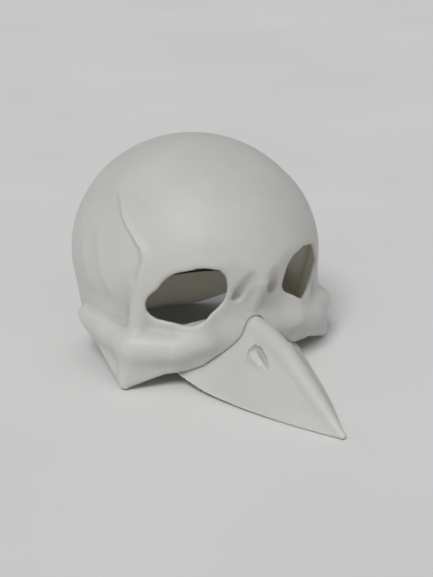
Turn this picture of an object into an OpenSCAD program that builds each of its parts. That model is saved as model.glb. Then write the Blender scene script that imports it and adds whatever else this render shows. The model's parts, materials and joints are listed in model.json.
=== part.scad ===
// Bird-skull masquerade mask: rigid cranium, separate upper beak, head pads and nape strap.
// Millimetres. The face looks along -Y, the wearer's left is +X, and +Z is up.
// The origin lies on the table plane under the centre of the dome.

/* [Cranium] */
// Outer half width of the dome
dome_half_w = 103.7; // [95:1:115]
// Outer half length of the dome
dome_half_l = 109; // [100:1:125]
// Outer half height of the dome
dome_half_h = 99.4; // [90:1:110]
// Height of the dome centre above the table
dome_z = 84.7; // [75:0.1:95]
// Thickness of the cast wall
wall = 4; // [3:0.5:6]
// Half width of the neck skirt at its widest
skirt_half_w = 94; // [85:1:100]
// Half length of the neck skirt
skirt_half_l = 90; // [80:1:100]
// Height of the arch over each ear
ear_arch_h = 34; // [10:1:45]

/* [Eye openings] */
// Radius of the wide end beside the nose
eye_r_nose = 19.5; // [16:0.5:22]
// Radius in the middle
eye_r_middle = 22; // [18:0.5:25]
// Radius of the narrow end at the temple
eye_r_temple = 10.5; // [7:0.5:14]

/* [Beak] */
// Distance from the origin to the beak tip
beak_reach = 212; // [190:1:240]
// Wall of the beak casting
beak_wall = 3.5; // [2.5:0.5:5]
// Radius of the rounded top ridge
culmen_r = 7; // [5:0.5:9]
// Gap between the beak root and the cranium rim
seam_gap = 0.3; // [0.2:0.1:0.6]

/* [Nape strap] */
// Width of the nape strap
strap_w = 18; // [14:1:22]
// Thickness of the nape strap
strap_t = 1.8; // [1.4:0.2:2.4]
// Height of the strap pivot above the table
pivot_z = 50; // [42:1:54]
// Distance of the strap pivot behind the origin
pivot_y = 10; // [0:1:20]
// Distance of the nape run behind the origin
nape_y = 80; // [74:1:84]
// Drop of the nape run below the pivot
nape_drop = 12; // [8:1:16]

/* [Pads] */
// Thickness of the foam head pads
pad_t = 11; // [8:0.5:14]
// Thickness of the hook patches behind the pads
patch_t = 1.2; // [0.8:0.2:2]

/* [Hidden] */
inner_half_w = dome_half_w - wall;
inner_half_l = dome_half_l - wall;
inner_half_h = dome_half_h - wall;
dome_c = [0, 0, dome_z];
skirt_c = [0, 8, 42];
skirt_half_h = 72;
rim_h = 34;
bone_color = [0.78, 0.78, 0.76];
foam_color = [0.62, 0.61, 0.57];
patch_color = [0.30, 0.30, 0.29];
steel_color = [0.60, 0.60, 0.62];
brass_color = [0.72, 0.58, 0.30];
strap_color = [0.42, 0.41, 0.37];
// Centre line of the beak: distance forward, half width, top height and lower edge height
beak_stations = [
  [62, 61.5, 55.5, 10.5], [76, 59.5, 56.5, 9], [100, 52.5, 57.5, 4], [118, 46, 55, 2.6],
  [138, 38.5, 49, 1.5], [158, 30, 39.5, 1], [178, 20.5, 27.5, 1], [198, 10, 15.5, 1], [beak_reach, 1.5, 4.5, 1.2]
];
// Screw that holds each beak ear: x, z, and the seat plane y
beak_screw_x = 51;
beak_screw_z = 40;
ear_front_y = -69;
ear_t = 3;
// Strap pivot stack along X, from the wall inwards
boss_out_x = 90.6;
boss_in_x = 84.1;
boss_flange_r = 11;
tab_out_x = 83.3;
tab_in_x = tab_out_x - strap_t;
pin_r = 2.98;
eyelet_r = 3.04;
eyelet_out_r = 5;
head_out_x = tab_in_x - 0.5;
// Nape run and corner of the strap, measured behind the pivot
nape_run = nape_y - pivot_y;
corner_r = 68;
corner_y = nape_run + strap_t - corner_r;
strap_tilt = atan(nape_drop / nape_run);
keeper_turn = 16;
keeper_gap = 0.2;
keeper_t = 1.2;

// ---------- helpers ----------
module ellipsoid(c, r, segs = 48) {
  translate(c) scale(r) sphere(r = 1, $fn = segs);
}

module rod(a, b, ra, rb, segs = 16) {
  hull() {
    translate(a) sphere(r = ra, $fn = segs);
    translate(b) sphere(r = rb, $fn = segs);
  }
}

module web(a, b, c, r) {
  hull() {
    translate(a) sphere(r = r, $fn = 14);
    translate(b) sphere(r = r, $fn = 14);
    translate(c) sphere(r = r, $fn = 14);
  }
}

module both_sides() {
  children();
  mirror([1, 0, 0]) children();
}

module x_cyl(x0, x1, y, z, r, segs = 48) {
  translate([x0, y, z]) rotate([0, 90, 0]) cylinder(r = r, h = x1 - x0, $fn = segs);
}

// Cylinder along Y from y0 (front) to y1 (rear)
module y_cyl(x, y0, y1, z, r, segs = 48) {
  translate([x, y1, z]) rotate([90, 0, 0]) cylinder(r = r, h = y1 - y0, $fn = segs);
}

// ---------- cranium ----------
module cranium_form() {
  ellipsoid(dome_c, [dome_half_w, dome_half_l, dome_half_h]);
  ellipsoid(skirt_c, [skirt_half_w, skirt_half_l, skirt_half_h], 40);
}

// Space for the head, kept one wall away from the hollow over the beak root
module cranium_cavity() {
  difference() {
    union() {
      ellipsoid(dome_c, [inner_half_w, inner_half_l, inner_half_h]);
      ellipsoid(skirt_c, [skirt_half_w - wall, skirt_half_l - wall, skirt_half_h - wall], 40);
    }
    nose_recess(wall);
    both_sides() nose_pit(wall);
  }
}

// Hollow under the brow that reaches out to the inner corners of the eyes
module nose_recess(grow) {
  rod([-30, -121, 64], [30, -121, 64], 30 + grow, 30 + grow, 28);
  both_sides() rod([26, -125, 80], [35, -121, 93], 27 + grow, 23 + grow, 24);
}

// Sharp dimple beside the middle ridge
module nose_pit(grow) {
  rod([12, -113, 96], [17, -92.5, 77], 8 + grow, 4.5 + grow);
}

// Cheek arch that runs from the ear to the side of the nose
module cheek_arch() {
  rod([97, 12, 42], [96, -28, 39], 8, 10);
  rod([96, -28, 39], [90.5, -56, 38], 10, 12);
  rod([90.5, -56, 38], [66, -77, 38], 12, 12);
  rod([66, -77, 38], [42, -87, 45], 12, 11);
  rod([42, -87, 45], [22, -89, 60], 11, 9);
  rod([22, -89, 60], [17, -86, 74], 9, 7);
}

// Blade that runs from the arch down to the cheek point
module cheek_blade() {
  point = [98.5, -55.5, 6.5];
  web([97, 4, 37], point, [92, -60, 33], 5);
  web(point, [92, -60, 33], [63, -73, 21], 5);
}

// Skirt under the arch that meets the beak root along its lower rim
module cheek_skirt() {
  web([66, -77, 38], [63, -73, 21], [53, -75.5, 19], 5);
  web([66, -77, 38], [53, -75.5, 19], [44, -82.5, 24], 5);
  web([66, -77, 38], [44, -82.5, 24], [42, -87, 45], 5);
  web([42, -87, 45], [44, -82.5, 24], [31, -88, 34], 5);
  web([42, -87, 45], [31, -88, 34], [22, -89, 60], 5);
  web([22, -89, 60], [31, -88, 34], [18, -91, 46], 5);
}

// Bar behind the eye, between the arch and the dome
module eye_bar() {
  rod([86, -54, 46], [82, -52, 86], 7, 6);
}

// Ridge on the middle line between the two dimples
module nose_ridge() {
  rod([0, -102, 89], [0, -91, 66], 5.5, 4.5);
}

// Solid bone behind the cheek that the beak inserts sit in
module insert_seat() {
  rod([66, -77, 38], [42, -86, 45], 12, 10);
}

module eye_cutter() {
  translate([52, -83, 78]) rotate([0, 0, 30]) rotate([90, 0, 0]) translate([0, 0, -34])
    hull() {
      translate([-7.5, 6.5, 0]) cylinder(r = eye_r_nose, h = 90, $fn = 44);
      translate([5, 1.5, 0]) cylinder(r = eye_r_middle, h = 90, $fn = 44);
      translate([25.5, -8, 0]) cylinder(r = eye_r_temple, h = 90, $fn = 32);
    }
}

// Opening under the cheeks for the face and the beak root
module face_opening() {
  translate([-150, -150, -20]) cube([300, 165, 20 + rim_h]);
}

module ear_arch() {
  translate([-150, 15, -1]) rotate([90, 0, 90]) linear_extrude(height = 300)
    polygon([[-26, -10], [-14, ear_arch_h - 6], [-4, ear_arch_h], [6, ear_arch_h - 2], [52, 0], [56, -10]]);
}

module cranium_shell() color(bone_color) {
  difference() {
    union() {
      difference() {
        union() {
          difference() {
            cranium_form();
            face_opening();
          }
          both_sides() {
            cheek_arch();
            cheek_blade();
            cheek_skirt();
            eye_bar();
          }
        }
        nose_recess(0);
        cranium_cavity();
      }
      nose_ridge();
      both_sides() {
        insert_seat();
        x_cyl(boss_out_x, 95, pivot_y, pivot_z, 12, 32);
      }
    }
    both_sides() {
      nose_pit(0);
      eye_cutter();
      x_cyl(boss_in_x, boss_out_x, pivot_y, pivot_z, boss_flange_r + 0.3, 32);
      y_cyl(beak_screw_x, ear_front_y - 9.2, ear_front_y + 1, beak_screw_z, 3.1, 24);
    }
    ear_arch();
    beak_solid(seam_gap);
    ear_seat();
    translate([-200, -300, -100]) cube([400, 500, 100]);
  }
}

// ---------- beak ----------
function beak_section(w, top, low, grow) = let (
    r = min(culmen_r, (top - low) / 2.2, w * 0.9) + grow,
    cz = top + grow - r,
    run = w + grow * 1.6,
    rise = cz - (low - grow),
    lean = atan2(run, rise) - asin(min(0.98, r / norm([run, rise])))
  ) concat(
    [[-run, low - grow]],
    [for (k = [0 : 6]) let (a = 180 - lean - k * (180 - 2 * lean) / 6) [r * cos(a), cz + r * sin(a)]],
    [[run, low - grow]]
  );

module beak_slice(s, grow) {
  translate([0, -s[0], 0]) rotate([90, 0, 0]) linear_extrude(height = 0.1)
    polygon(beak_section(s[1], s[2], s[3], grow));
}

module beak_solid(grow) {
  for (k = [0 : len(beak_stations) - 2])
    hull() {
      beak_slice(beak_stations[k], grow);
      beak_slice(beak_stations[k + 1], grow);
    }
}

module beak_hollow() {
  translate([0, 0, -beak_wall]) for (k = [0 : len(beak_stations) - 3])
    hull() {
      beak_slice(hollow_station(k), 0);
      beak_slice(hollow_station(k + 1), 0);
    }
}

function hollow_station(k) = let (s = beak_stations[k])
  [k == 0 ? s[0] - 1 : s[0], s[1] - beak_wall * 1.45, s[2] - beak_wall * 0.15, s[3] - 6];

// Flat ears at the beak root that lie behind the cheeks
module ear_plates(grow) {
  both_sides() translate([0, ear_front_y + ear_t + grow, 0]) rotate([90, 0, 0])
    linear_extrude(height = ear_t + grow)
      polygon([[22 - grow, 34 - grow], [beak_screw_x, 30 - grow], [60 + grow, 34 - grow],
        [60 + grow, 45 + grow], [54, 50 + grow], [28, 50 + grow], [12, 54 + grow]]);
}

module ear_seat() {
  ear_plates(0.05);
  both_sides() translate([10, ear_front_y + 0.1, 27]) cube([52, 12, 30]);
}

// Slit of the nostril, open into the beak
module nostril_cutter() {
  rod([14, -112, 40], [14.6, -132, 32], 2.6, 1.4);
}

// Raised lower edge of the nostril
module nostril_lip() {
  rod([17, -117, 32], [18, -125, 29], 4.5, 3.5);
}

module beak_shell() color(bone_color) {
  difference() {
    union() {
      beak_solid(0);
      both_sides() nostril_lip();
      ear_plates(0);
    }
    beak_hollow();
    both_sides() nostril_cutter();
    both_sides() y_cyl(beak_screw_x, ear_front_y - 1, ear_front_y + ear_t + 1, beak_screw_z, 1.8, 32);
  }
}

// ---------- beak fasteners ----------
module beak_screw() color(steel_color) {
  y_cyl(beak_screw_x, ear_front_y - 7, ear_front_y + ear_t + 0.7, beak_screw_z, 1.5);
  difference() {
    y_cyl(beak_screw_x, ear_front_y + ear_t + 0.7, ear_front_y + ear_t + 2.5, beak_screw_z, 3.2);
    y_cyl(beak_screw_x, ear_front_y + ear_t + 1.5, ear_front_y + ear_t + 3, beak_screw_z, 1.2, 6);
  }
}

module beak_washer() color(steel_color) difference() {
  y_cyl(beak_screw_x, ear_front_y + ear_t + 0.05, ear_front_y + ear_t + 0.65, beak_screw_z, 4);
  y_cyl(beak_screw_x, ear_front_y + ear_t - 1, ear_front_y + ear_t + 2, beak_screw_z, 1.7);
}

module beak_insert() color(brass_color) difference() {
  y_cyl(beak_screw_x, ear_front_y - 8.5, ear_front_y - 0.1, beak_screw_z, 3);
  y_cyl(beak_screw_x, ear_front_y - 7.6, ear_front_y + 1, beak_screw_z, 1.6);
}

module left_beak_screw() beak_screw();
module right_beak_screw() mirror([1, 0, 0]) beak_screw();
module left_beak_washer() beak_washer();
module right_beak_washer() mirror([1, 0, 0]) beak_washer();
module left_beak_insert() beak_insert();
module right_beak_insert() mirror([1, 0, 0]) beak_insert();

// ---------- pads ----------
// Point on the dome lining: heading a from -Y towards +X, elevation e, slopes u and v, depth d
function lining(a, e, u, v, d) = let (
    fwd = [cos(e) * sin(a), -cos(e) * cos(a), sin(e)],
    side = [cos(a), sin(a), 0],
    rise = [-sin(e) * sin(a), sin(e) * cos(a), cos(e)],
    p = fwd + u * side + v * rise,
    q = [p[0] / (inner_half_w - d), p[1] / (inner_half_l - d), p[2] / (inner_half_h - d)]
  ) dome_c + p / norm(q);

// Curved slab on the lining with rounded corners: centre heading and elevation, half spans, depths
module lining_slab(a0, e0, da, de, d0, d1) {
  n = 32;
  edge = [for (k = [0 : n - 1]) let (c = cos(360 * k / n), s = sin(360 * k / n))
    [tan(da) * sign(c) * pow(abs(c), 0.45), tan(de) * sign(s) * pow(abs(s), 0.45)]];
  bulge = (d1 - d0) * 0.28;
  layer = [[0.55, d0], [1, d0], [1, d1 - bulge], [0.9, d1 - bulge * 0.2], [0.5, d1]];
  pts = concat(
    [lining(a0, e0, 0, 0, d0)],
    [for (l = layer, p = edge) lining(a0, e0, l[0] * p[0], l[0] * p[1], l[1])],
    [lining(a0, e0, 0, 0, d1)]
  );
  sides = [for (j = [0 : len(layer) - 2], k = [0 : n - 1])
    let (p = 1 + j * n + k, q = 1 + j * n + (k + 1) % n) each [[p, q, q + n], [p, q + n, p + n]]];
  outer_cap = [for (k = [0 : n - 1]) [0, 1 + (k + 1) % n, 1 + k]];
  last = 1 + len(layer) * n;
  inner_cap = [for (k = [0 : n - 1]) [last, last - n + k, last - n + (k + 1) % n]];
  polyhedron(points = pts, faces = concat(outer_cap, sides, inner_cap));
}

module pad_at(a0, e0, da, de) color(foam_color)
  lining_slab(a0, e0, da, de, patch_t + 0.9, patch_t + 0.9 + pad_t);

module patch_at(a0, e0, da, de) color(patch_color)
  lining_slab(a0, e0, da * 0.72, de * 0.72, 0.6, 0.6 + patch_t);

module forehead_pad() pad_at(0, 36, 27, 11);
module crown_pad() pad_at(0, 86, 17, 21);
module left_temple_pad() pad_at(98, 14, 15, 13);
module right_temple_pad() pad_at(-98, 14, 15, 13);
module occiput_pad() pad_at(180, 14, 23, 12);
module forehead_patch() patch_at(0, 36, 27, 11);
module crown_patch() patch_at(0, 86, 17, 21);
module left_temple_patch() patch_at(98, 14, 15, 13);
module right_temple_patch() patch_at(-98, 14, 15, 13);
module occiput_patch() patch_at(180, 14, 23, 12);

// ---------- strap pivots ----------
module anchor_boss() color(bone_color) difference() {
  union() {
    x_cyl(boss_in_x, boss_out_x - 0.05, pivot_y, pivot_z, 7);
    x_cyl(boss_out_x - 2.5, boss_out_x - 0.05, pivot_y, pivot_z, boss_flange_r);
  }
  x_cyl(boss_in_x - 1, boss_out_x - 1, pivot_y, pivot_z, 2.05);
}

module pivot_screw() color(steel_color) {
  x_cyl(boss_in_x - 1, boss_out_x - 1.6, pivot_y, pivot_z, 2);
  x_cyl(head_out_x, boss_in_x - 0.02, pivot_y, pivot_z, pin_r);
  difference() {
    x_cyl(head_out_x - 2.2, head_out_x, pivot_y, pivot_z, 5.4);
    x_cyl(head_out_x - 3, head_out_x - 1, pivot_y, pivot_z, 1.6, 6);
  }
}

module pivot_washer() color(steel_color) difference() {
  x_cyl(tab_out_x + 0.35, boss_in_x - 0.05, pivot_y, pivot_z, 6);
  x_cyl(tab_out_x - 1, boss_in_x + 1, pivot_y, pivot_z, 3.2);
}

module left_anchor_boss() anchor_boss();
module right_anchor_boss() mirror([1, 0, 0]) anchor_boss();
module left_pivot_screw() pivot_screw();
module right_pivot_screw() mirror([1, 0, 0]) pivot_screw();
module left_pivot_washer() pivot_washer();
module right_pivot_washer() mirror([1, 0, 0]) pivot_washer();

// ---------- nape strap, drawn flat about the pivot and tilted into place ----------
module tilted() {
  translate([0, pivot_y, pivot_z]) rotate([-strap_tilt, 0, 0]) children();
}

// Right half of the area inside the band, shrunk by the inset
module band_half(inset) {
  edge_x = tab_out_x - inset;
  rear_y = nape_run + strap_t - inset;
  translate([-1, -8]) square([edge_x + 1, 8 + corner_y]);
  translate([-1, -8]) square([tab_out_x - corner_r + 1, 8 + rear_y]);
  intersection() {
    translate([tab_out_x - corner_r, corner_y]) circle(r = corner_r - inset, $fn = 120);
    translate([0, corner_y - 1]) square([200, 200]);
  }
}

module band_area(inset) {
  band_half(inset);
  mirror([1, 0]) band_half(inset);
}

module band_plan() {
  difference() {
    band_area(0);
    band_area(strap_t);
    translate([-tab_in_x, -20]) square([2 * tab_in_x, 20 + corner_y]);
  }
}

module nape_strap() color(strap_color) tilted() difference() {
  union() {
    translate([0, 0, -strap_w / 2]) linear_extrude(height = strap_w) band_plan();
    both_sides() x_cyl(tab_in_x, tab_out_x, 0, 0, 11);
  }
  both_sides() x_cyl(tab_in_x - 1, tab_out_x + 1, 0, 0, eyelet_out_r);
}

module eyelet() color(brass_color) difference() {
  union() {
    x_cyl(tab_in_x - 0.45, tab_out_x + 0.2, pivot_y, pivot_z, eyelet_out_r - 0.02);
    x_cyl(tab_in_x - 0.45, tab_in_x - 0.12, pivot_y, pivot_z, 6.6);
  }
  x_cyl(tab_in_x - 2, tab_out_x + 2, pivot_y, pivot_z, eyelet_r);
}

module left_eyelet() eyelet();
module right_eyelet() mirror([1, 0, 0]) eyelet();

// Loop round the strap, where the strap starts to turn
module strap_keeper() color(strap_color) tilted()
  translate([tab_out_x - corner_r, corner_y, 0]) rotate([0, 0, keeper_turn])
    translate([corner_r - strap_t, 0, 0]) difference() {
      translate([-keeper_gap - keeper_t, -3.5, -strap_w / 2 - 1.3])
        cube([strap_t + 2 * (keeper_gap + keeper_t), 7, strap_w + 2.6]);
      translate([-keeper_gap, -5, -strap_w / 2 - 0.05])
        cube([strap_t + 2 * keeper_gap, 10, strap_w + 0.1]);
    }

// ---------- strap adjuster ----------
module adjuster_frame() color(steel_color) tilted() difference() {
  translate([-8, nape_run - 2.6, -strap_w / 2 - 3.4]) cube([16, strap_t + 4.8, strap_w + 6.8]);
  translate([-9, nape_run - 0.3, -strap_w / 2 - 0.3]) cube([18, strap_t + 0.6, strap_w + 0.6]);
  translate([-9, nape_run - 4, -strap_w / 2 - 0.3]) cube([18, 4, strap_w + 0.6]);
  translate([-4.8, nape_run, -strap_w / 2 - 0.3]) cube([9.6, 8, strap_w + 0.6]);
  translate([0, nape_run - 1.6, -strap_w / 2 - 2.4]) cylinder(r = 1.22, h = strap_w + 4.8, $fn = 32);
}

module adjuster_bar() color(steel_color) tilted()
  translate([0, nape_run - 1.6, -strap_w / 2 - 2.2]) cylinder(r = 1.2, h = strap_w + 4.4, $fn = 32);

cranium_shell();
beak_shell();
left_beak_screw();
right_beak_screw();
left_beak_washer();
right_beak_washer();
left_beak_insert();
right_beak_insert();
forehead_pad();
crown_pad();
left_temple_pad();
right_temple_pad();
occiput_pad();
forehead_patch();
crown_patch();
left_temple_patch();
right_temple_patch();
occiput_patch();
left_anchor_boss();
right_anchor_boss();
left_pivot_screw();
right_pivot_screw();
left_pivot_washer();
right_pivot_washer();
nape_strap();
left_eyelet();
right_eyelet();
strap_keeper();
adjuster_frame();
adjuster_bar();
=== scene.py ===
"""Looks of the bird-skull mask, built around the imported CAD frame.

The two castings are smooth blends of rounded bones, given as signed distances in millimetres and meshed here.
The pads are puffed by cloth simulation, the nape strap is stitched webbing, and the metal stays CAD.
"""
import json
import math

import bmesh
import bpy
import numpy as np
from mathutils import Matrix, Vector


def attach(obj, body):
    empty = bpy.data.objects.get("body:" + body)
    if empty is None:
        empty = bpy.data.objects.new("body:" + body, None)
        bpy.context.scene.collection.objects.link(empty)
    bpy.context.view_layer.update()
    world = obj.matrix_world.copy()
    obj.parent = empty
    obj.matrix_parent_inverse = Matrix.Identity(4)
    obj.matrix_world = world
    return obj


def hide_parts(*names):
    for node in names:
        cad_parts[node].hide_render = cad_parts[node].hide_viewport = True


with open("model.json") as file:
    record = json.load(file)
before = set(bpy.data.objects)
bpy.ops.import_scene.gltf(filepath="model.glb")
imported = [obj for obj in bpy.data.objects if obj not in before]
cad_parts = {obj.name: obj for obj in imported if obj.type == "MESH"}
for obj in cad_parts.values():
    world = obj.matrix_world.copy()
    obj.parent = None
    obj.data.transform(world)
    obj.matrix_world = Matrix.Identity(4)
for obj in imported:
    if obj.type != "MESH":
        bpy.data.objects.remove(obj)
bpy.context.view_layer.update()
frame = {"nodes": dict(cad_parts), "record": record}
record = frame["record"]
MM = 0.001

# ---------------------------------------------------------------- camera
# Degrees from straight in front, degrees above the horizon, metres
CAM_AZIMUTH = -31.5
CAM_ELEVATION = 20.0
CAM_DISTANCE = 1.0
CAM_SENSOR = 36.0
CAM_LENS = 96.7
CAM_SHIFT = (0.053, -0.092)
DOME_CENTRE = Vector((0.0, 0.0, 0.0847))


def make_camera():
    """A long lens looking at the dome centre, which sits left of and above the middle of the picture."""
    azimuth = math.radians(CAM_AZIMUTH)
    elevation = math.radians(CAM_ELEVATION)
    back = Vector((
        math.sin(azimuth) * math.cos(elevation),
        -math.cos(azimuth) * math.cos(elevation),
        math.sin(elevation),
    ))
    data = bpy.data.cameras.new("camera")
    data.sensor_fit = "HORIZONTAL"
    data.sensor_width = CAM_SENSOR
    data.lens = CAM_LENS
    data.shift_x, data.shift_y = CAM_SHIFT
    camera = bpy.data.objects.new("camera", data)
    bpy.context.scene.collection.objects.link(camera)
    camera.location = DOME_CENTRE + back * CAM_DISTANCE
    camera.rotation_euler = (-back).to_track_quat("-Z", "Y").to_euler()
    bpy.context.scene.camera = camera


make_camera()


# ---------------------------------------------------------------- distance fields, in millimetres
def smooth_step(low, high, value):
    """0 at low, 1 at high, level at both ends."""
    t = np.clip((value - low) / (high - low), 0.0, 1.0)
    return t * t * (3.0 - 2.0 * t)


def blend_union(a, b, radius):
    """Union of two fields with a fillet of about the given radius."""
    h = np.clip(0.5 + 0.5 * (b - a) / radius, 0.0, 1.0)
    return b + (a - b) * h - radius * h * (1.0 - h)


def blend_cut(a, tool, radius):
    """Field a with the tool removed and the new edge rounded."""
    return -blend_union(-a, tool, radius)


def ellipsoid(p, centre, radii):
    """Near enough to a distance close to the surface."""
    q = (p - np.array(centre)) / np.array(radii)
    k0 = np.sqrt((q * q).sum(-1))
    q = q / np.array(radii)
    k1 = np.sqrt((q * q).sum(-1)) + 1e-9
    return k0 * (k0 - 1.0) / k1


def bone(p, start, end, r_start, r_end):
    """Tapered rod with round ends."""
    start = np.array(start, float)
    axis = np.array(end, float) - start
    length = np.linalg.norm(axis)
    axis = axis / length
    q = p - start
    along = q @ axis
    out = np.sqrt(np.maximum((q * q).sum(-1) - along * along, 0.0))
    slope = np.clip((r_start - r_end) / length, -0.99, 0.99)
    t = np.clip((along - out * slope / math.sqrt(1.0 - slope * slope)) / length, 0.0, 1.0)
    return np.hypot(out, along - t * length) - (r_start + (r_end - r_start) * t)


def bone_chain(p, knots):
    """Rods joined end to end; each knot is (point, radius)."""
    field = None
    for (a, ra), (b, rb) in zip(knots[:-1], knots[1:]):
        part = bone(p, a, b, ra, rb)
        field = part if field is None else np.minimum(field, part)
    return field


def plate(p, a, b, c, radius):
    """Rounded triangular plate."""
    a, b, c = (np.array(v, float) for v in (a, b, c))
    sides = ((a, b - a), (b, c - b), (c, a - c))
    normal = np.cross(b - a, a - c)
    inside = sum(np.sign((p - corner) @ np.cross(side, normal)) for corner, side in sides) >= 2.0
    to_edge = None
    for corner, side in sides:
        q = p - corner
        t = np.clip((q @ side) / (side @ side), 0.0, 1.0)[..., None]
        away = ((side * t - q) ** 2).sum(-1)
        to_edge = away if to_edge is None else np.minimum(to_edge, away)
    to_plane = ((p - a) @ normal) ** 2 / (normal @ normal)
    return np.sqrt(np.where(inside, to_plane, to_edge)) - radius


def mirrored(p):
    """Points with x made positive, because both castings are symmetric."""
    return np.stack((np.abs(p[..., 0]), p[..., 1], p[..., 2]), -1)


def slab(p, low, high):
    """Box between two corners."""
    middle = (np.array(low) + np.array(high)) / 2.0
    half = (np.array(high) - np.array(low)) / 2.0
    q = np.abs(p - middle) - half
    return np.minimum(q.max(-1), 0.0) + np.linalg.norm(np.maximum(q, 0.0), axis=-1)


# ---------------------------------------------------------------- beak
BEAK_TIP = 213.0
BEAK_REAR = 62.0
EAR_LOW = (14.0, -69.0, 31.0)
EAR_HIGH = (60.0, -66.0, 50.0)
BEAK_SCREW_X = 51.0
BEAK_SCREW_Z = 40.0
BEAK_SCREW_HOLE = 1.8
# The hollow is the beak's own form, shrunk and moved down and back, and it stops short of the tip
HOLLOW_SHRINK = 3.4
HOLLOW_SHIFT = np.array((0.0, -2.0, 3.2))
SOLID_TIP = 22.0
# Depth of the hollow grind of the flanks
FLANK_GRIND = 10.0
# The flanks would meet this far over the ridge height
FLANK_APEX = 4.0
# Distance forward, half width of the lower edge, height of the ridge, height of the lower edge
BEAK_PROFILE = np.array((
    (40, 64, 54, 13), (76, 60, 56.5, 9), (100, 53, 57.5, 4), (118, 46.5, 55, 2.6), (138, 39, 49, 1.5),
    (158, 30.5, 39.5, 1.1), (178, 21, 27.5, 0.8), (198, 10, 15, 0.6), (208, 5, 8.5, 0.8),
    (212, 1.5, 4.5, 1.2),
), float)

# Radius of the rounded culmen at these distances forward, and how far its top lies under the ridge height
CULMEN_REACH = (60.0, 118.0, 180.0, 212.0)
CULMEN_RADIUS = (9.0, 8.5, 5.5, 2.0)
CULMEN_DROP = 1.2
# Crescent of the nostril: each knot is (point, radius)
NOSTRIL = (
    ((18.2, -112, 35), 1.3), ((16.4, -111.9, 36.5), 2.0), ((13.1, -113.4, 39.5), 2.2),
    ((12, -118.7, 39), 2.2), ((12.8, -126.6, 35.3), 1.9), ((14.8, -134.3, 30.3), 0.8),
)
# Raised tongue below the crescent: start, end, radii
NOSTRIL_TONGUE = ((16.5, -117.5, 34.5), (16.5, -126, 31), 4.0, 2.5)
PROFILE_Y = np.arange(30.0, 221.0)


def smoothed_profile(column, window=15):
    """One column of the profile on a 1 mm raster with its corners rounded."""
    raw = np.interp(PROFILE_Y, BEAK_PROFILE[:, 0], BEAK_PROFILE[:, column])
    padded = np.pad(raw, window // 2, mode="edge")
    return np.convolve(padded, np.ones(window) / window, mode="valid")


HALF_WIDTH, RIDGE_HEIGHT, LOWER_EDGE = (smoothed_profile(k) for k in (1, 2, 3))


def beak_form(p, grow=0.0):
    """Solid wedge with hollow-ground flanks and a rounded ridge."""
    x = np.abs(p[..., 0])
    forward = -p[..., 1]
    z = p[..., 2]
    half_width, top, low = (np.interp(forward, PROFILE_Y, c) for c in (HALF_WIDTH, RIDGE_HEIGHT, LOWER_EDGE))
    rise = top + FLANK_APEX - low
    v = np.clip((z - low) / rise, 0.0, 1.0)
    flank = (x * rise + (z - low) * half_width - half_width * rise) / (np.hypot(rise, half_width) + 1e-6)
    flank = flank + FLANK_GRIND * v * (1.0 - v) * np.clip(half_width / 40.0, 0.0, 1.0)
    culmen_r = np.interp(forward, CULMEN_REACH, CULMEN_RADIUS)
    culmen = np.hypot(x, z - top + CULMEN_DROP + culmen_r) - culmen_r
    field = blend_cut(flank, top - CULMEN_DROP - culmen_r / 2.0 - z, 4.0)
    field = blend_union(field, culmen, 3.0)
    field = blend_cut(field, z - low, 2.5)
    field = np.maximum(field, forward - BEAK_TIP)
    return field * 0.9 - grow


def beak_hollow(q):
    return beak_form(q + HOLLOW_SHIFT, -HOLLOW_SHRINK)


def beak_field(p):
    """Beak shell with its nostrils, and the drilled ears that carry it behind the cheeks."""
    q = mirrored(p)
    form = blend_union(beak_form(q), bone(q, *NOSTRIL_TONGUE), 4.0)
    form = blend_cut(form, bone_chain(q, NOSTRIL), 0.9)
    hollow = np.maximum(beak_hollow(q), -q[..., 1] - (BEAK_TIP - SOLID_TIP))
    shell = np.maximum(form, q[..., 1] + BEAK_REAR)
    shell = blend_cut(shell, hollow, 1.5)
    ears = np.maximum(slab(q, EAR_LOW, EAR_HIGH), -hollow)
    shell = np.minimum(shell, ears)
    from_screw = np.hypot(q[..., 0] - BEAK_SCREW_X, q[..., 2] - BEAK_SCREW_Z)
    bore = np.maximum(from_screw - BEAK_SCREW_HOLE, q[..., 1] + 60.0)
    return np.maximum(shell, -bore)


# ---------------------------------------------------------------- cranium
WALL = 4.0
DOME = ((0.0, 0.0, 84.7), (103.7, 109.0, 99.4))
SKIRT = ((0.0, 8.0, 42.0), (94.0, 90.0, 72.0))
EYE_CENTRE = (52.0, -83.0, 78.0)
EYE_HEADING = math.radians(30.0)
# Ends of the two rounded bars that the eye outline is made of, in the plane of the eye
EYE_NOSE = ((-7.5, 6.0, 0.0), (4.0, 1.0, 0.0))
EYE_TEMPLE = ((4.0, 1.0, 0.0), (24.0, -5.0, 0.0))
EYE_RADII = (19.5, 21.0, 12.5)
BOSS_Y = 10.0
BOSS_Z = 50.0
BOSS_FACE_X = 90.6
# Land on the wall round the strap's anchor boss, and the pocket for the boss flange in it
BOSS_LAND_R = 12.0
BOSS_LAND_T = 4.4
BOSS_POCKET_R = 11.3
# Lower edge of the dome: height in front, and the start and length of its run down to the nape
RIM_HEIGHT = 34.0
RIM_FALL = (20.0, 48.0)
# Each bone is (start, end, start radius, end radius)
BRIDGE = ((0, -102, 89), (0, -91, 66), 5.5, 4.5)
EYE_BAR = ((86, -54, 46), (82, -52, 86), 7.5, 6.5)
INSERT_SEAT = ((66, -77, 38), (42, -86, 45), 11, 9)
BEAK_GAP = 0.4


def shrunk(form, wall):
    """Centre and radii of an ellipsoid one wall inside the given one."""
    centre, radii = form
    return centre, tuple(r - wall for r in radii)


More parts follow.
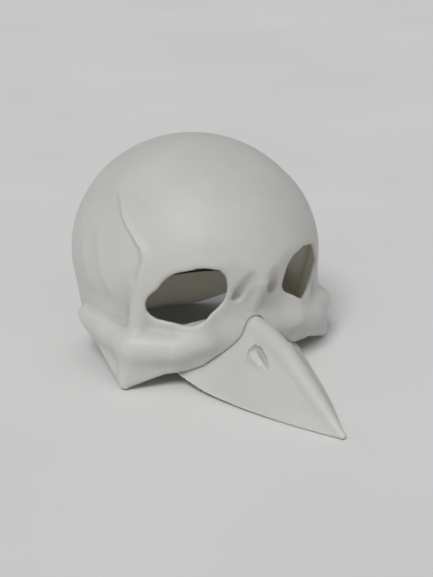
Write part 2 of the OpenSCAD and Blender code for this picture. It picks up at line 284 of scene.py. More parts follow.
def temple_relief(q):
    """Depth of the hollow at the temple, which ends forward in the raised temporal line."""
    x, y, z = q[..., 0], q[..., 1], q[..., 2]
    line = np.interp(z, (60, 94, 109, 117, 124, 134, 146, 160), (-52, -57, -58, -54, -45.5, -31.6, -17, 5))
    reach = smooth_step(45, 75, x) * smooth_step(160, 134, z) * smooth_step(38, 58, z)
    hollow = smooth_step(-4.5, 5.0, y - line) * smooth_step(70, -10, y)
    depth = 2.8 + 2.2 * smooth_step(92, 62, z) * smooth_step(35, -10, y)
    lip = np.exp(-((y - line + 4.5) / 4.5) ** 2)
    front_fold = np.exp(-((y + 20.0 - 0.45 * (z - 95.0)) / 5.0) ** 2)
    front_fold = front_fold * smooth_step(130, 112, z) * smooth_step(62, 84, z)
    rear_fold = np.exp(-((y - 4.0 - 0.35 * (z - 90.0)) / 6.0) ** 2)
    rear_fold = rear_fold * smooth_step(122, 104, z) * smooth_step(62, 80, z)
    return reach * (depth * hollow - 1.6 * lip - 1.3 * front_fold - 1.1 * rear_fold)


def nose_recess(q):
    """Hollow under the brow, which reaches out to the inner corners of the eyes."""
    broad = bone(q, (0, -124, 64), (30, -121, 64), 30, 30)
    corner = bone(q, (26, -125, 80), (35, -121, 93), 27, 23)
    return blend_union(broad, corner, 8.0)


def nose_pit(q):
    """Sharp dimple on each side of the middle ridge."""
    return bone(q, (12, -113, 96), (17, -92.5, 77), 8, 4.5)


def eye_hole(q):
    """Rounded hole through the wall, drawn out towards the temple."""
    across = (math.cos(EYE_HEADING), math.sin(EYE_HEADING))
    u = (q[..., 0] - EYE_CENTRE[0]) * across[0] + (q[..., 1] - EYE_CENTRE[1]) * across[1]
    depth = (q[..., 0] - EYE_CENTRE[0]) * across[1] - (q[..., 1] - EYE_CENTRE[1]) * across[0]
    flat = np.stack((u, q[..., 2] - EYE_CENTRE[2], np.zeros_like(u)), -1)
    nose_side = bone(flat, *EYE_NOSE, *EYE_RADII[:2])
    temple_side = bone(flat, *EYE_TEMPLE, *EYE_RADII[1:])
    outline = blend_union(nose_side, temple_side, 3.0)
    return np.maximum(outline, -depth - 45.0)


def cheek_form(q):
    """Cheek arch, the blade that runs down to the cheek point, and the skirt that meets the beak root."""
    arch = bone_chain(q, (
        ((97, 12, 42), 8), ((96, -28, 39), 10), ((90.5, -56, 38), 12), ((66, -77, 38), 12),
        ((42, -87, 45), 11), ((22, -89, 60), 9), ((17, -86, 74), 7),
    ))
    point = (98.5, -55.5, 6.5)
    front = (63, -73, 21)
    under_arch = (92, -60, 33)
    blade = np.minimum(plate(q, (97, 4, 37), point, under_arch, 5), plate(q, point, under_arch, front, 5))
    blade = np.minimum(blade, bone(q, (94, -52, 34), point, 8, 5.5))
    knots = ((66, -77, 38), (42, -87, 45), (22, -89, 60))
    rim = (front, (53, -75.5, 19), (44, -82.5, 24), (31, -88, 34), (18, -91, 46))
    webs = (
        (knots[0], rim[0], rim[1]), (knots[0], rim[1], rim[2]), (knots[0], rim[2], knots[1]),
        (knots[1], rim[2], rim[3]), (knots[1], rim[3], knots[2]), (knots[2], rim[3], rim[4]),
    )
    skirt = plate(q, *webs[0], 5)
    for web in webs[1:]:
        skirt = np.minimum(skirt, plate(q, *web, 5))
    return blend_union(blend_union(arch, blade, 10.0), skirt, 8.0)


def cranium_cavity(q):
    """Space for the head, which keeps one wall away from the hollow under the brow."""
    dome = ellipsoid(q, *shrunk(DOME, WALL)) + 0.8 * temple_relief(q)
    cavity = np.minimum(dome, ellipsoid(q, *shrunk(SKIRT, WALL)))
    return np.maximum(cavity, WALL - np.minimum(nose_recess(q), nose_pit(q)))


def cranium_field(p):
    """Skull shell: dome, skirt, cheeks and eye bars, then the hollows, eyes, head space and seats."""
    q = mirrored(p)
    x, y, z = q[..., 0], q[..., 1], q[..., 2]
    form = ellipsoid(q, *DOME) + temple_relief(q)
    form = blend_union(form, ellipsoid(q, *SKIRT), 10.0)
    rim = RIM_HEIGHT * (1.0 - np.clip((y - RIM_FALL[0]) / RIM_FALL[1], 0.0, 1.0))
    form = blend_cut(form, z - rim, 2.0)
    cheek = cheek_form(q)
    form = blend_union(form, cheek, 3.5 + 5.5 * smooth_step(-35, -62, y))
    form = blend_union(form, bone(q, *EYE_BAR), 6.0)
    form = blend_cut(form, nose_recess(q), 8.0)
    form = blend_union(form, bone(q, *BRIDGE), 4.0)
    form = blend_cut(form, nose_pit(q), 2.5)
    form = blend_cut(form, eye_hole(q), 3.0 + 6.0 * smooth_step(80, 98, z))
    form = blend_cut(form, cranium_cavity(q), 2.0)
    form = np.minimum(form, np.maximum(bone(q, *INSERT_SEAT), cheek - 1.0))
    from_boss = np.hypot(y - BOSS_Y, z - BOSS_Z)
    land = np.abs(x - BOSS_FACE_X - BOSS_LAND_T / 2.0) - BOSS_LAND_T / 2.0
    form = np.minimum(form, np.maximum(from_boss - BOSS_LAND_R, land))
    form = np.maximum(form, -np.maximum(from_boss - BOSS_POCKET_R, x - BOSS_FACE_X))
    form = np.maximum(form, -z)
    form = blend_cut(form, np.maximum(beak_form(q, BEAK_GAP), y + BEAK_REAR - 1.0), 0.8)
    seat = slab(q, np.array(EAR_LOW) - (1, 0.1, 1), np.array(EAR_HIGH) + (1, 12.0, 8.0))
    return np.maximum(form, -seat)


# ---------------------------------------------------------------- meshing
def grid_field(field, low, high, pitch):
    """Field sampled for x >= 0 and mirrored, with the axes' first points."""
    low = np.array((0.0, low[1], low[2]))
    counts = [int(math.ceil((high[k] - low[k]) / pitch)) + 1 for k in range(3)]
    axes = [low[k] + pitch * np.arange(counts[k]) for k in range(3)]
    axes[0] = pitch * (np.arange(counts[0]) + 0.5)
    values = np.empty(counts)
    for i, x in enumerate(axes[0]):
        yy, zz = np.meshgrid(axes[1], axes[2], indexing="ij")
        values[i] = field(np.stack((np.full_like(yy, x), yy, zz), -1))
    full = np.concatenate((values[::-1], values), 0)
    origin = np.array((-axes[0][-1], axes[1][0], axes[2][0]))
    return full, origin


def surface_net(values, origin, pitch):
    """Vertices and quads of the zero surface: one vertex in each cell that the surface crosses."""
    inside = values < 0.0
    corner_offsets = [(i, j, k) for i in (0, 1) for j in (0, 1) for k in (0, 1)]
    nx, ny, nz = (n - 1 for n in values.shape)
    cells = [inside[i:nx + i, j:ny + j, k:nz + k] for i, j, k in corner_offsets]
    total = sum(c.astype(np.int8) for c in cells)
    active = (total > 0) & (total < 8)
    index = np.full(active.shape, -1, np.int64)
    index[active] = np.arange(active.sum())
    at = np.argwhere(active)
    crossing_sum = np.zeros((len(at), 3))
    crossing_count = np.zeros(len(at))
    for a in corner_offsets:
        for axis in range(3):
            if a[axis] == 1:
                continue
            b = list(a)
            b[axis] = 1
            va = values[tuple((at + a).T)]
            vb = values[tuple((at + b).T)]
            cut = (va < 0.0) != (vb < 0.0)
            t = np.where(cut, va / np.where(cut, va - vb, 1.0), 0.0)
            point = np.array(a, float) + np.outer(t, np.array(b, float) - np.array(a, float))
            crossing_sum += point * cut[:, None]
            crossing_count += cut
    vertices = origin + pitch * (at + crossing_sum / crossing_count[:, None])
    quads = []
    for axis in range(3):
        u, v = (axis + 1) % 3, (axis + 2) % 3
        step = [0, 0, 0]
        step[axis] = 1
        trim = [slice(1, n - 1) for n in values.shape]
        trim[axis] = slice(0, values.shape[axis] - 1)
        first = inside[tuple(trim)]
        shifted = list(trim)
        shifted[axis] = slice(1, values.shape[axis])
        second = inside[tuple(shifted)]
        edges = np.argwhere(first != second)
        base = edges + [0 if k == axis else 1 for k in range(3)]
        leaving = first[tuple(edges.T)]
        ring = []
        for du, dv in ((-1, -1), (0, -1), (0, 0), (-1, 0)):
            cell = base.copy()
            cell[:, u] += du
            cell[:, v] += dv
            ring.append(index[tuple(cell.T)])
        ring = np.stack(ring, 1)
        quads.append(np.where(leaving[:, None], ring, ring[:, ::-1]))
    return vertices, np.concatenate(quads)


def gradient(field, points, step=0.3):
    """Unit normals of a field."""
    slopes = [field(points + step * axis) - field(points - step * axis) for axis in np.eye(3)]
    slopes = np.stack(slopes, -1)
    return slopes / (np.linalg.norm(slopes, axis=-1, keepdims=True) + 1e-9)


CREASE_REACH = 5.0


def cast_shell(name, field, low, high, pitch):
    """Object with the field's surface, drawn onto the true surface, and a per-point attribute of painted
    shade that darkens the creases.
    """
    values, origin = grid_field(field, low, high, pitch)
    vertices, quads = surface_net(values, origin, pitch)
    for _ in range(2):
        move = np.clip(field(vertices), -0.4 * pitch, 0.4 * pitch)
        vertices = vertices - move[:, None] * gradient(field, vertices)
    normals = gradient(field, vertices)
    # Painted shade: near 1 where the field closes in within CREASE_REACH along the normal, like occlusion in
    # a crease
    crease_shade = np.clip(1.0 - field(vertices + CREASE_REACH * normals) / CREASE_REACH, 0.0, 1.0)
    mesh = bpy.data.meshes.new(name)
    mesh.from_pydata((vertices * MM).tolist(), [], quads.tolist())
    mesh.validate()
    mesh.shade_smooth()
    layer = mesh.attributes.new("crease_shade", "FLOAT", "POINT")
    layer.data.foreach_set("value", crease_shade.astype(np.float32))
    obj = bpy.data.objects.new(name, mesh)
    bpy.context.scene.collection.objects.link(obj)
    return obj, vertices


CRANIUM_PITCH = 1.6
BEAK_PITCH = 1.2
CRANIUM_REGION = ((0, -124, -4), (114, 113, 190))
BEAK_REGION = ((0, -218, -6), (72, -56, 66))
cranium, cranium_points = cast_shell("cranium", cranium_field, *CRANIUM_REGION, CRANIUM_PITCH)
beak, beak_points = cast_shell("beak", beak_field, *BEAK_REGION, BEAK_PITCH)
for piece, node in ((cranium, "cranium_shell"), (beak, "beak_shell")):
    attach(piece, "mask")
    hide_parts(node)


# ---------------------------------------------------------------- materials
def new_material(name):
    """Material with nothing but its shader and output: (material, node tree, shader)."""
    material = bpy.data.materials.new(name)
    material.use_nodes = True
    tree = material.node_tree
    tree.nodes.clear()
    shader = tree.nodes.new("ShaderNodeBsdfPrincipled")
    output = tree.nodes.new("ShaderNodeOutputMaterial")
    tree.links.new(shader.outputs[0], output.inputs[0])
    return material, tree, shader


def noise(tree, vector, scale, detail=3.0, roughness=0.5):
    node = tree.nodes.new("ShaderNodeTexNoise")
    node.inputs["Scale"].default_value = scale
    node.inputs["Detail"].default_value = detail
    node.inputs["Roughness"].default_value = roughness
    tree.links.new(vector, node.inputs["Vector"])
    return node.outputs["Fac"]


def ramp(tree, factor, stops):
    """Colour ramp; each stop is (position, (r, g, b))."""
    node = tree.nodes.new("ShaderNodeValToRGB")
    elements = node.color_ramp.elements
    while len(elements) < len(stops):
        elements.new(0.5)
    for element, (position, colour) in zip(elements, stops):
        element.position = position
        element.color = (*colour, 1.0)
    tree.links.new(factor, node.inputs["Fac"])
    return node.outputs["Color"]


def remap(tree, factor, low, high):
    node = tree.nodes.new("ShaderNodeMapRange")
    node.inputs["To Min"].default_value = low
    node.inputs["To Max"].default_value = high
    tree.links.new(factor, node.inputs["Value"])
    return node.outputs["Result"]


def mix_colour(tree, factor, a, b, mode="MIX"):
    node = tree.nodes.new("ShaderNodeMix")
    node.data_type = "RGBA"
    node.blend_type = mode
    if isinstance(factor, float):
        node.inputs[0].default_value = factor
    else:
        tree.links.new(factor, node.inputs[0])
    for socket, value in ((node.inputs[6], a), (node.inputs[7], b)):
        if isinstance(value, tuple):
            socket.default_value = (*value, 1.0)
        else:
            tree.links.new(value, socket)
    return node.outputs[2]


def bump(tree, height, strength, distance, below=None):
    node = tree.nodes.new("ShaderNodeBump")
    node.inputs["Strength"].default_value = strength
    node.inputs["Distance"].default_value = distance
    tree.links.new(height, node.inputs["Height"])
    if below is not None:
        tree.links.new(below, node.inputs["Normal"])
    return node.outputs["Normal"]


def object_space(tree):
    return tree.nodes.new("ShaderNodeTexCoord").outputs["Object"]


def cast_material(name, light, dark, painted_shade_colour, roughness, scatter):
    """Resin casting: cloudy colour, painted shade darkening the creases, faint orange peel, soft scatter."""
    material, tree, shader = new_material(name)
    space = object_space(tree)
    clouds = ramp(tree, noise(tree, space, 16.0, 4.0, 0.55), ((0.3, dark), (0.7, light)))
    attribute = tree.nodes.new("ShaderNodeAttribute")
    attribute.attribute_name = "crease_shade"
    # Painted shade: the crease attribute mixes in up to 45 % of the darker crease colour
    painted_shade = remap(tree, attribute.outputs["Fac"], 0.0, 0.45)
    colour = mix_colour(tree, painted_shade, clouds, painted_shade_colour)
    specks = remap(tree, noise(tree, space, 900.0, 2.0, 0.6), 0.965, 1.02)
    colour = mix_colour(tree, 1.0, colour, specks, "MULTIPLY")
    tree.links.new(colour, shader.inputs["Base Color"])
    polish = remap(tree, noise(tree, space, 60.0, 3.0), roughness - 0.07, roughness + 0.09)
    tree.links.new(polish, shader.inputs["Roughness"])
    peel = bump(tree, noise(tree, space, 520.0, 2.0, 0.5), 0.12, 0.0004)
    hand = bump(tree, noise(tree, space, 34.0, 3.0, 0.5), 0.16, 0.003, peel)
    tree.links.new(hand, shader.inputs["Normal"])
    shader.inputs["IOR"].default_value = 1.46
    shader.inputs["Specular IOR Level"].default_value = 0.42
    shader.inputs["Subsurface Weight"].default_value = 0.7
    shader.inputs["Subsurface Radius"].default_value = (1.0, 0.92, 0.74)
    shader.inputs["Subsurface Scale"].default_value = scatter
    return material


# The third colour of each casting is painted shade laid into the creases
bone_outer = cast_material(
    "bone_paint", (0.66, 0.655, 0.635), (0.60, 0.597, 0.575), (0.40, 0.39, 0.35), 0.46, 0.006,
)
bone_inner = cast_material(
    "raw_resin_lining", (0.74, 0.725, 0.67), (0.69, 0.675, 0.62), (0.60, 0.585, 0.53), 0.62, 0.02,
)


def paint_castings():
    """Paint outside, raw resin on the faces that lie on the cavity."""
    for obj in (cranium, beak):
        obj.data.materials.append(bone_outer)
        obj.data.materials.append(bone_inner)
    mark_inner(cranium, cranium_cavity(mirrored(cranium_points)) < 0.8)
    mark_inner(beak, beak_hollow(mirrored(beak_points)) < 0.6)


def mark_inner(obj, inner):
    """Second material on the faces that have at least two of the given points."""
    loops = np.empty(len(obj.data.loops), np.int32)
    obj.data.loops.foreach_get("vertex_index", loops)
    starts = np.empty(len(obj.data.polygons), np.int32)
    obj.data.polygons.foreach_get("loop_start", starts)
    share = np.add.reduceat(inner[loops].astype(int), starts)
    obj.data.polygons.foreach_set("material_index", (share >= 2).astype(np.int32))
    obj.data.update()


paint_castings()


def cloth_material(name, light, dark, scale, strength):
    """Brushed knit: mottled colour, short nap and a soft sheen."""
    material, tree, shader = new_material(name)
    space = object_space(tree)
    mottle = ramp(tree, noise(tree, space, 70.0, 4.0), ((0.3, dark), (0.7, light)))
    tree.links.new(mottle, shader.inputs["Base Color"])
    nap = bump(tree, noise(tree, space, scale, 3.0, 0.6), strength, 0.0006)
    tree.links.new(bump(tree, noise(tree, space, 45.0, 2.0), 0.25, 0.002, nap), shader.inputs["Normal"])
    tree.links.new(remap(tree, noise(tree, space, 90.0), 0.82, 0.95), shader.inputs["Roughness"])
    shader.inputs["Sheen Weight"].default_value = 0.25
    shader.inputs["Sheen Roughness"].default_value = 0.5
    return material


def webbing_material():
    """Woven strap: ribs across the width from the lengthwise coordinate, finer threads over them."""
    material, tree, shader = new_material("nape_webbing")
    uv = tree.nodes.new("ShaderNodeUVMap").outputs["UV"]
    waves = []
    for axis, scale in (("X", 520.0), ("Y", 330.0)):
        wave = tree.nodes.new("ShaderNodeTexWave")
        wave.bands_direction = axis
        wave.inputs["Scale"].default_value = scale
        wave.inputs["Distortion"].default_value = 0.6
        tree.links.new(uv, wave.inputs["Vector"])
        waves.append(wave.outputs["Fac"])
    weave = mix_colour(tree, 0.5, waves[0], waves[1], "MULTIPLY")
    yarn = ramp(tree, weave, ((0.1, (0.10, 0.097, 0.084)), (0.8, (0.19, 0.183, 0.16))))
    tree.links.new(yarn, shader.inputs["Base Color"])
    tree.links.new(bump(tree, weave, 0.6, 0.0005), shader.inputs["Normal"])
    tree.links.new(remap(tree, noise(tree, uv, 200.0), 0.7, 0.9), shader.inputs["Roughness"])
    return material


def metal_material(name, light, dark, roughness):
    """Turned or drawn metal: fine scratches and slightly uneven polish."""
    material, tree, shader = new_material(name)
    space = object_space(tree)
    colour = ramp(tree, noise(tree, space, 120.0, 3.0), ((0.3, dark), (0.7, light)))
    tree.links.new(colour, shader.inputs["Base Color"])
    low, high = roughness - 0.06, roughness + 0.1
    tree.links.new(remap(tree, noise(tree, space, 350.0, 4.0), low, high), shader.inputs["Roughness"])
    tree.links.new(bump(tree, noise(tree, space, 1500.0, 2.0), 0.1, 0.0002), shader.inputs["Normal"])
    shader.inputs["Metallic"].default_value = 1.0
    return material


pad_cloth = cloth_material("pad_knit", (0.30, 0.29, 0.25), (0.24, 0.232, 0.20), 1400.0, 0.5)
piping_cloth = cloth_material("pad_piping", (0.17, 0.165, 0.145), (0.13, 0.126, 0.11), 2200.0, 0.4)
hook_cloth = cloth_material("hook_patch", (0.035, 0.034, 0.032), (0.022, 0.021, 0.02), 2600.0, 0.9)
thread = cloth_material("stitch_thread", (0.42, 0.41, 0.37), (0.34, 0.33, 0.30), 3000.0, 0.3)
webbing = webbing_material()
steel = metal_material("brushed_steel", (0.60, 0.60, 0.61), (0.50, 0.50, 0.52), 0.34)
brass = metal_material("brass", (0.72, 0.56, 0.28), (0.62, 0.47, 0.22), 0.30)

SLOT_MATERIALS = {"bone_cast": bone_outer, "hook_patch": hook_cloth, "steel": steel, "brass": brass}


def paint_cad_nodes():
    """Each CAD node that stays in view takes the material of its slot."""
    for part in record["subparts"]:
        material = SLOT_MATERIALS.get(part["material_slot"])
        node = frame["nodes"][part["node"]]
        if material is not None and not node.hide_render:
            node.data.materials.clear()
            node.data.materials.append(material)


paint_cad_nodes()


# ---------------------------------------------------------------- pads
# Centre heading and elevation, then half spans, in degrees, as seen from the dome centre
PADS = {
    "forehead": (0, 36, 27, 11),
    "crown": (0, 86, 17, 21),
    "left_temple": (98, 14, 15, 13),
    "right_temple": (-98, 14, 15, 13),
    "occiput": (180, 14, 23, 12),
}
# Millimetres between the lining and the middle of the welt
PIPING_DEPTH = 10.0
PIPING_RADIUS = 1.1 * MM
PAD_PUFF = 2.2 * MM
PUFF_FRAMES = 20
# The blank is this much smaller than the finished cushion
BLANK_SCALE = 0.975
BLANK_VOXEL = 4.0 * MM


def evaluated_mesh(obj):
    graph = bpy.context.evaluated_depsgraph_get()
    graph.update()
    return bpy.data.meshes.new_from_object(obj.evaluated_get(graph))


def bake(obj):
    """Replace the mesh by its modified one and drop the modifiers."""
    mesh = evaluated_mesh(obj)
    obj.modifiers.clear()
    obj.data = mesh


def points_of(mesh):
    points = np.empty(len(mesh.vertices) * 3)
    mesh.vertices.foreach_get("co", points)
    return points.reshape(-1, 3)


def set_points(mesh, points):
    mesh.vertices.foreach_set("co", points.ravel())
    mesh.update()


def inside_lining(points):
    """Points pushed back until they clear the cranium's inner wall by 1 mm."""
    side = np.ones_like(points)
    side[:, 0] = np.where(points[:, 0] < 0.0, -1.0, 1.0)
    q = points / MM * side
    over = np.maximum(cranium_cavity(q) + 1.0, 0.0)
    return (q - over[:, None] * gradient(cranium_cavity, q)) * side * MM


def pad_blank(name):
    """Even mesh of the pad, a little smaller than the finished cushion."""
    source = frame["nodes"][name + "_pad"]
    pad = bpy.data.objects.new(name + "_cushion", source.data.copy())
    pad.matrix_world = source.matrix_world
    bpy.context.scene.collection.objects.link(pad)
    remesh = pad.modifiers.new("remesh", "REMESH")
    remesh.mode = "VOXEL"
    remesh.voxel_size = BLANK_VOXEL
    bake(pad)
    pad.data.transform(pad.matrix_world)
    pad.matrix_world = Matrix.Identity(4)
    points = points_of(pad.data)
    middle = points.mean(0)
    set_points(pad.data, middle + (points - middle) * BLANK_SCALE)
    return pad


def puff(pads):
    """Cloth pressure swells every blank at once, capped so that the pads keep their outline."""
    scene = bpy.context.scene
    before = [points_of(pad.data) for pad in pads]
    for pad in pads:
        cloth = pad.modifiers.new("cloth", "CLOTH")
        cloth.settings.use_pressure = True
        cloth.settings.uniform_pressure_force = 4.0
        cloth.settings.effector_weights.gravity = 0.0
        cloth.settings.quality = 6
        cloth.settings.tension_stiffness = 12.0
        cloth.settings.bending_stiffness = 0.8
        cloth.point_cache.frame_start = 1
        cloth.point_cache.frame_end = PUFF_FRAMES
    for number in range(1, PUFF_FRAMES + 1):
        scene.frame_set(number)
    meshes = [evaluated_mesh(pad) for pad in pads]
    scene.frame_set(1)
    for pad, mesh, start in zip(pads, meshes, before):
        pad.modifiers.clear()
        pad.data = mesh
        shift = points_of(mesh) - start
        length = np.linalg.norm(shift, axis=1, keepdims=True) + 1e-9
        set_points(mesh, start + shift * np.minimum(1.0, PAD_PUFF / length))


def lining_point(heading, elevation, u, v, depth):
    """Point under the dome lining; u and v are slopes sideways and upwards from the pad's centre."""
    a, e = math.radians(heading), math.radians(elevation)
    forward = np.array((math.cos(e) * math.sin(a), -math.cos(e) * math.cos(a), math.sin(e)))
    side = np.array((math.cos(a), math.sin(a), 0.0))
    rise = np.array((-math.sin(e) * math.sin(a), math.sin(e) * math.cos(a), math.cos(e)))
    direction = forward + u * side + v * rise
    radii = np.array(DOME[1]) - WALL - depth
    return np.array(DOME[0]) + direction / np.linalg.norm(direction / radii)


def tube(name, points, radius):
    """Closed round cord through the points, as a mesh."""
    curve = bpy.data.curves.new(name, "CURVE")
    curve.dimensions = "3D"
    curve.bevel_depth = radius
    curve.bevel_resolution = 3
    spline = curve.splines.new("POLY")
    spline.points.add(len(points) - 1)
    for point, position in zip(spline.points, points):
        point.co = (*position, 1.0)
    spline.use_cyclic_u = True
    holder = bpy.data.objects.new(name + "_curve", curve)
    bpy.context.scene.collection.objects.link(holder)
    mesh = evaluated_mesh(holder)
    bpy.data.objects.remove(holder)
    mesh.shade_smooth()
    obj = bpy.data.objects.new(name, mesh)
    bpy.context.scene.collection.objects.link(obj)
    return obj


def pad_piping(name, heading, elevation, half_a, half_e):
    """Welt sewn round the inner edge of the pad."""
    outline = []
    for k in range(72):
        angle = 2.0 * math.pi * k / 72
        c, s = math.cos(angle), math.sin(angle)
        u = 1.01 * math.tan(math.radians(half_a)) * math.copysign(abs(c) ** 0.45, c)
        v = 1.01 * math.tan(math.radians(half_e)) * math.copysign(abs(s) ** 0.45, s)
        outline.append(lining_point(heading, elevation, u, v, PIPING_DEPTH) * MM)
    return tube(name + "_piping", outline, PIPING_RADIUS)


def make_pads():
    pads = [pad_blank(name) for name in PADS]
    puff(pads)
    for pad, (name, place) in zip(pads, PADS.items()):
        set_points(pad.data, inside_lining(points_of(pad.data)))
        smooth = pad.modifiers.new("smooth", "SUBSURF")
        smooth.levels = 1
        bake(pad)
        pad.data.shade_smooth()
        pad.data.materials.clear()
        pad.data.materials.append(pad_cloth)
        piping = pad_piping(name, *place)
        piping.data.materials.append(piping_cloth)
        for piece in (pad, piping):
            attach(piece, "mask")
        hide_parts(name + "_pad")


make_pads()


# ---------------------------------------------------------------- nape strap
# Millimetres: flat sides beside the pivots, then two quarter circles and a short straight run at the nape
STRAP_WIDTH = 18.0
STRAP_THICKNESS = 1.8
STRAP_SIDE_X = 82.4
STRAP_RUN = 70.9
STRAP_CORNER = 67.1
STRAP_TILT = math.atan2(12.0, 70.0)
TAB_RADIUS = 11.0
EYELET_HOLE = 5.05
PIVOT = Vector((0.0, 10.0, 50.0))
# Degrees round the corner from the side of the strap to its keeper
KEEPER_TURN = 16.0
KEEPER_LENGTH = 7.0
KEEPER_WALL = 1.1
# Space between the keeper and the band: out of the band, across it
KEEPER_SLACK = (0.25, 0.2)
STITCH_INSET = 2.2
STITCH_RADIUS = 0.28 * MM


def strap_space(x, y, z):
    """Millimetres in the flat drawing of the strap, turned into place about the pivot, in metres."""
    c, s = math.cos(STRAP_TILT), math.sin(STRAP_TILT)
    return Vector((x, y * c + z * s + PIVOT.y, z * c - y * s + PIVOT.z)) * MM


def strap_path(step=3.0):
    """Centre line round the nape from tab to tab: (x, y, outward normal x, outward normal y)."""
    corner_y = STRAP_RUN - STRAP_CORNER
    corner_x = STRAP_SIDE_X - STRAP_CORNER
    count = int(STRAP_CORNER * math.pi / 2 / step)
    half = []
    for k in range(2, count + 1):
        angle = math.pi / 2 * k / count
        nx, ny = math.cos(angle), math.sin(angle)
        half.append((corner_x + STRAP_CORNER * nx, corner_y + STRAP_CORNER * ny, nx, ny))
    for x in np.linspace(corner_x, 0.0, max(3, int(corner_x / step)))[1:]:
        half.append((x, STRAP_RUN, 0.0, 1.0))
    return half + [(-x, y, -nx, ny) for x, y, nx, ny in half[-2::-1]]


def strap_section():
    """Outline of the band, (across, out), with a shallow groove between its two plies."""
    w, t = STRAP_WIDTH / 2.0, STRAP_THICKNESS / 2.0
    edge = ((w - 0.7, t), (w - 0.1, t * 0.6), (w - 0.35, 0.0), (w - 0.1, -t * 0.6), (w - 0.7, -t))
    return list(edge) + [(-a, b) for a, b in reversed(edge)]


def make_band():
    """Webbing band with its two round tabs, and a UV map that runs along it in metres."""
    bm = bmesh.new()
    uv = bm.loops.layers.uv.new("UVMap")
    section = strap_section()
    rings = []
    along = 0.0
    lengths = []
    previous = None
    for x, y, nx, ny in strap_path():
        centre = np.array((x, y))
        along += 0.0 if previous is None else float(np.linalg.norm(centre - previous))
        previous = centre
        lengths.append(along * MM)
        ring = [strap_space(x + nx * out, y + ny * out, across) for across, out in section]
        rings.append([bm.verts.new(point) for point in ring])
    count = len(section)
    for i in range(len(rings) - 1):
        for k in range(count):
            j = (k + 1) % count
            face = bm.faces.new((rings[i][k], rings[i + 1][k], rings[i + 1][j], rings[i][j]))
            marks = ((lengths[i], k), (lengths[i + 1], k), (lengths[i + 1], j), (lengths[i], j))
            for loop, (length, at) in zip(face.loops, marks):
                loop[uv].uv = (length, section[at][0] * MM)
    bm.faces.new(rings[0])
    bm.faces.new(rings[-1][::-1])
    for sign in (1, -1):
        add_tab(bm, uv, sign)
    bmesh.ops.recalc_face_normals(bm, faces=bm.faces)
    return mesh_object(bm, "nape_band")


def add_tab(bm, uv, sign):
    """Round end of the strap with the hole for the eyelet."""
    segments = 40
    rings = []
    half = STRAP_THICKNESS / 2.0
    hole, edge = EYELET_HOLE, TAB_RADIUS - 0.6
    profile = ((hole, -half), (edge, -half), (TAB_RADIUS, 0.0), (edge, half), (hole, half))
    for k in range(segments):
        angle = 2.0 * math.pi * k / segments
        c, s = math.cos(angle), math.sin(angle)
        ring = [strap_space(sign * (STRAP_SIDE_X + out), r * c, r * s) for r, out in profile]
        rings.append([bm.verts.new(point) for point in ring])
    for k in range(segments):
        after = rings[(k + 1) % segments]
        for j in range(len(profile)):
            i = (j + 1) % len(profile)
            face = bm.faces.new((rings[k][j], rings[k][i], after[i], after[j]))
            for loop in face.loops:
                loop[uv].uv = (loop.vert.co.y, loop.vert.co.z)


def mesh_object(bm, name):
    """Smooth object with its sharp edges kept."""
    mesh = bpy.data.meshes.new(name)
    bm.to_mesh(mesh)
    bm.free()
    mesh.shade_smooth()
    mesh.set_sharp_from_angle(angle=math.radians(40.0))
    obj = bpy.data.objects.new(name, mesh)
    bpy.context.scene.collection.objects.link(obj)
    return obj


def add_stitch(bm, start, end, normal):
    """One thread from start to end, sunk at both ends and bowed out in the middle."""
    direction = (end - start).normalized()
    across = direction.cross(normal).normalized()
    rings = []
    for t, lift in ((0.0, -0.3), (0.2, 0.5), (0.5, 0.9), (0.8, 0.5), (1.0, -0.3)):
        centre = start.lerp(end, t) + normal * lift * STITCH_RADIUS
        ring = []
        for k in range(6):
            angle = math.pi * k / 3
            spoke = across * math.cos(angle) + normal * math.sin(angle)
            ring.append(bm.verts.new(centre + spoke * STITCH_RADIUS))
        rings.append(ring)
    for a, b in zip(rings[:-1], rings[1:]):
        for k in range(6):
            bm.faces.new((a[k], a[(k + 1) % 6], b[(k + 1) % 6], b[k]))
    bm.faces.new(rings[0][::-1])
    bm.faces.new(rings[-1])


def make_stitching():
    """Two rows of lock stitch on both faces of the band."""
    bm = bmesh.new()
    path = strap_path()
    face_out = STRAP_THICKNESS / 2.0
    for (xa, ya, nxa, nya), (xb, yb, nxb, nyb) in zip(path[4:-5], path[5:-4]):
        for out in (face_out, -face_out):
            for across in (-STRAP_WIDTH / 2.0 + STITCH_INSET, STRAP_WIDTH / 2.0 - STITCH_INSET):
                a = strap_space(xa + nxa * out, ya + nya * out, across)
                b = strap_space(xb + nxb * out, yb + nyb * out, across)
                normal = (strap_space(xa + nxa * out * 2, ya + nya * out * 2, across) - a).normalized()
                add_stitch(bm, a.lerp(b, 0.12), a.lerp(b, 0.88), normal)
    return mesh_object(bm, "strap_stitching")


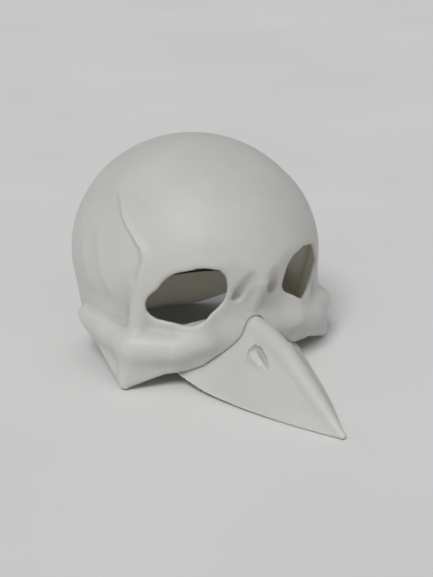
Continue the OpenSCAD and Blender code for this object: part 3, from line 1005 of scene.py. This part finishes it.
def make_keeper():
    """Narrow loop of the same webbing that holds the loose end."""
    bm = bmesh.new()
    uv = bm.loops.layers.uv.new("UVMap")
    half_t = STRAP_THICKNESS / 2.0 + KEEPER_WALL + KEEPER_SLACK[0]
    half_w = STRAP_WIDTH / 2.0 + KEEPER_WALL + KEEPER_SLACK[1]
    turn = math.radians(KEEPER_TURN)
    nx, ny = math.cos(turn), math.sin(turn)
    end = KEEPER_LENGTH / 2.0
    profile = (
        (-end, 0.0), (-end, KEEPER_WALL - 0.3), (0.4 - end, KEEPER_WALL),
        (end - 0.4, KEEPER_WALL), (end, KEEPER_WALL - 0.3), (end, 0.0),
    )
    loop_points = []
    for cx, cz, first in ((1, 1, 0), (-1, 1, 90), (-1, -1, 180), (1, -1, 270)):
        for k in range(4):
            angle = math.radians(first + 30 * k)
            c, s = math.cos(angle), math.sin(angle)
            loop_points.append((cx * (half_t - KEEPER_WALL), cz * (half_w - KEEPER_WALL), c, s))
    rings = []
    for x, z, c, s in loop_points:
        ring = []
        for along, r in profile:
            out = STRAP_CORNER + x + c * r
            side = STRAP_SIDE_X - STRAP_CORNER + out * nx - along * ny
            back = STRAP_RUN - STRAP_CORNER + out * ny + along * nx
            ring.append(bm.verts.new(strap_space(side, back, z + s * r)))
        rings.append(ring)
    for i, ring in enumerate(rings):
        after = rings[(i + 1) % len(rings)]
        for k in range(len(profile)):
            j = (k + 1) % len(profile)
            face = bm.faces.new((ring[k], ring[j], after[j], after[k]))
            for loop in face.loops:
                loop[uv].uv = (loop.vert.co.z, loop.vert.co.y)
    bmesh.ops.recalc_face_normals(bm, faces=bm.faces)
    return mesh_object(bm, "keeper_loop")


def make_strap():
    band = make_band()
    stitching = make_stitching()
    keeper = make_keeper()
    band.data.materials.append(webbing)
    keeper.data.materials.append(webbing)
    stitching.data.materials.append(thread)
    for piece in (band, stitching, keeper):
        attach(piece, "strap")
    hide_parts("nape_strap")
    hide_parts("strap_keeper")


make_strap()


# ---------------------------------------------------------------- stage
FLOOR_HALF = 15.0
ROOM_LIGHT = 0.31
WINDOW_STRENGTH = 1.65
WINDOW_SPREAD = math.radians(22.0)
TO_WINDOW = Vector((-0.50, -0.42, 0.75))


def make_stage():
    """Wide pale paper floor."""
    bm = bmesh.new()
    bmesh.ops.create_grid(bm, x_segments=2, y_segments=2, size=FLOOR_HALF)
    mesh = bpy.data.meshes.new("floor")
    bm.to_mesh(mesh)
    bm.free()
    floor = bpy.data.objects.new("floor", mesh)
    bpy.context.scene.collection.objects.link(floor)
    material, tree, shader = new_material("floor_paper")
    clouds = noise(tree, object_space(tree), 3.0)
    paper = ramp(tree, clouds, ((0.3, (0.80, 0.80, 0.80)), (0.7, (0.84, 0.84, 0.84))))
    tree.links.new(paper, shader.inputs["Base Color"])
    shader.inputs["Roughness"].default_value = 0.9
    floor.data.materials.append(material)


def make_lights():
    """Soft window light from the upper left in front, in a pale room."""
    scene = bpy.context.scene
    world = bpy.data.worlds.new("world")
    world.use_nodes = True
    background = world.node_tree.nodes["Background"]
    background.inputs["Color"].default_value = (1.0, 1.0, 1.0, 1.0)
    background.inputs["Strength"].default_value = ROOM_LIGHT
    scene.world = world
    scene.view_settings.view_transform = "Standard"
    data = bpy.data.lights.new("window", "SUN")
    data.energy = WINDOW_STRENGTH
    data.angle = WINDOW_SPREAD
    data.color = (1.0, 0.998, 0.99)
    window = bpy.data.objects.new("window", data)
    window.rotation_euler = TO_WINDOW.to_track_quat("Z", "Y").to_euler()
    scene.collection.objects.link(window)


make_stage()
make_lights()

bpy.context.view_layer.update()
